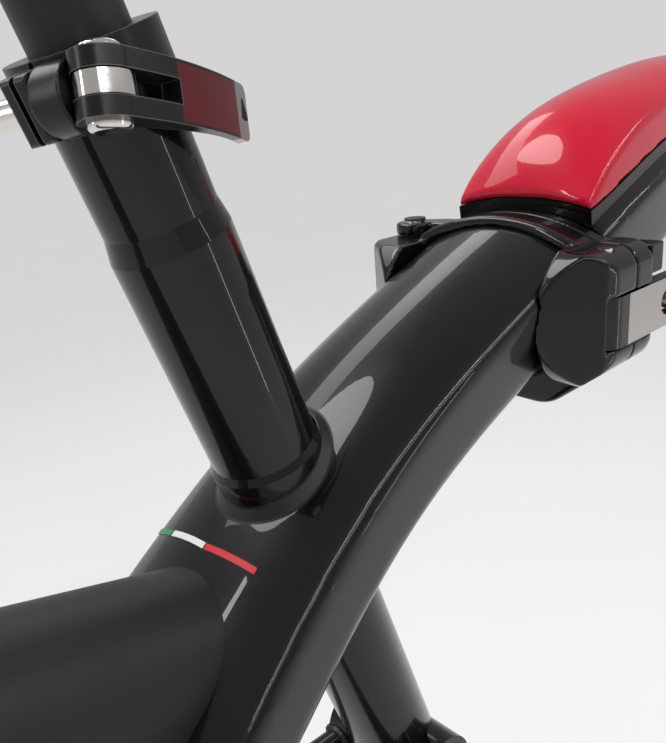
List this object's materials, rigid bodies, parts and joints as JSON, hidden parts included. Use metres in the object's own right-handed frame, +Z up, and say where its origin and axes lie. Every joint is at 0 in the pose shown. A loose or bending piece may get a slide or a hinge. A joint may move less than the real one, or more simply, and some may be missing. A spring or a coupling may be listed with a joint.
{
  "type": "folding electric bicycle frame",
  "caption": "Folding bicycle frame: arched two-part beam with a side-swinging fold hinge and latch, telescoping seat post with lever clamp, forked rear stays and rear mudguard.",
  "frame": {"origin": "centre of the bottom bracket shell's bore", "axes": "+X forward to the head tube, +Y to the rider's left, +Z up"},
  "size_m": [1.166, 0.1605, 0.6248],
  "materials": {
    "gloss_black": "gloss black paint under clear coat",
    "satin_black": "satin black anodised",
    "matte_black": "matte black anodised",
    "matte_moulding": "fine grained matte moulding",
    "red_cover": "gloss crimson",
    "polished_steel": "polished",
    "latch_metal": "polished and satin",
    "wire_steel": "brushed",
    "battery_case": "plain"
  },
  "bodies": {
    "rear_frame": {"rear_beam": "gloss_black", "stay_left": "gloss_black", "stay_right": "gloss_black", "seat_tube": "gloss_black", "seat_tube_skirt": "gloss_black", "bottom_bracket_shell": "gloss_black", "chain_stay_left": "gloss_black", "chain_stay_right": "gloss_black", "dropout_left": "satin_black", "dropout_right": "satin_black", "rear_hinge_plate": "gloss_black", "hinge_pin": "polished_steel", "latch_pin": "polished_steel", "seat_collar": "satin_black", "clamp_washer": "satin_black", "clamp_bolt": "polished_steel", "clamp_nut": "polished_steel", "rear_mudguard": "matte_moulding", "mudguard_stays": "wire_steel"},
    "front_frame": {"front_beam": "gloss_black", "front_hinge_plate": "gloss_black", "latch_jaw_upper": "gloss_black", "latch_jaw_lower": "gloss_black", "head_tube": "gloss_black", "battery_block": "battery_case", "beam_cover": "red_cover", "cover_tray": "gloss_black", "latch_safety_catch": "satin_black"},
    "frame_latch": {"latch_lever": "latch_metal"},
    "seat_clamp_lever": {"clamp_lever": "satin_black", "clamp_pin": "polished_steel"},
    "saddle_post": {"seat_post": "matte_black"}
  },
  "joints": [
    {"name": "frame_fold", "type": "hinge", "parent": "rear_frame", "child": "front_frame", "pos_m": [0.116, 0.069, 0.242], "axis": [0, 0, 1], "range_deg": [0, 180]},
    {"name": "latch_open", "type": "hinge", "parent": "rear_frame", "child": "frame_latch", "pos_m": [0.102, -0.062, 0.2325], "axis": [0, 0, -1], "range_deg": [0, 90]},
    {"name": "seat_clamp_open", "type": "hinge", "parent": "rear_frame", "child": "seat_clamp_lever", "pos_m": [-0.13217, -0.03388, 0.35135], "axis": [-0.1221, -0.1774, -0.9765], "range_deg": [0, 130]},
    {"name": "seat_height", "type": "slide", "parent": "rear_frame", "child": "saddle_post", "axis": [-0.309, 0, 0.9511], "range_m": [-0.085, 0.16]}
  ]
}
